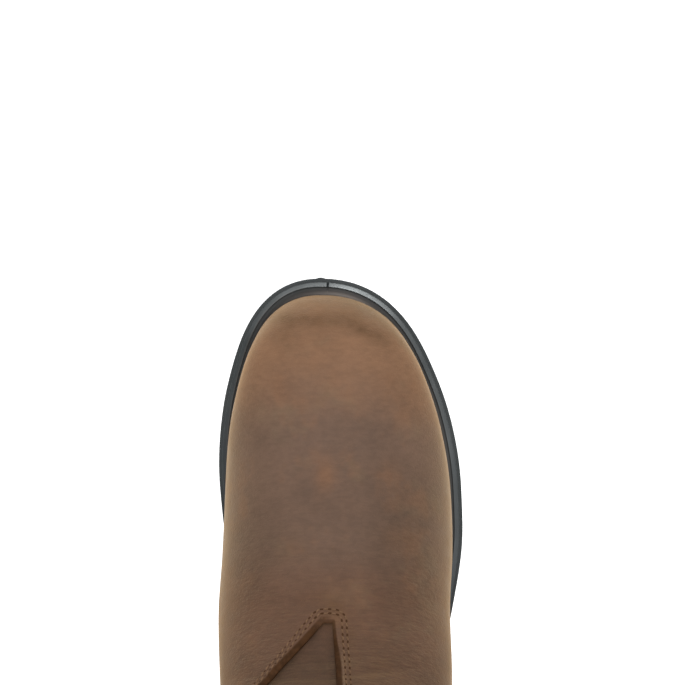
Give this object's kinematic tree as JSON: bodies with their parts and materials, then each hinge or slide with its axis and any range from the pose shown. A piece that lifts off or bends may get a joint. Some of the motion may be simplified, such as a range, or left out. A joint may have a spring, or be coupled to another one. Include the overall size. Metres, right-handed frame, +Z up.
{
  "type": "pull-on work boot",
  "caption": "Right pull-on work boot in brown oiled leather, with a lapped vamp that peaks at the instep, pull straps and a black moulded sole with lugs.",
  "frame": {"origin": "bottom centre of the boot's box, on the floor under the sole", "axes": "+Z up, -Y towards the toe, +X towards the inner side of the foot"},
  "size_m": [0.117, 0.3116, 0.3001],
  "materials": {
    "sole_rubber": "matte moulded black",
    "insole_cloth": "brushed cloth over foam",
    "boot_leather": "oiled brown nap with mottled wear",
    "strap_leather": "folded brown leather strap"
  },
  "bodies": {
    "root": {"outsole": "sole_rubber", "insole": "insole_cloth", "upper": "boot_leather", "vamp": "boot_leather", "backstay": "boot_leather", "pull_strap_inner": "strap_leather", "pull_strap_outer": "strap_leather"}
  },
  "joints": []
}
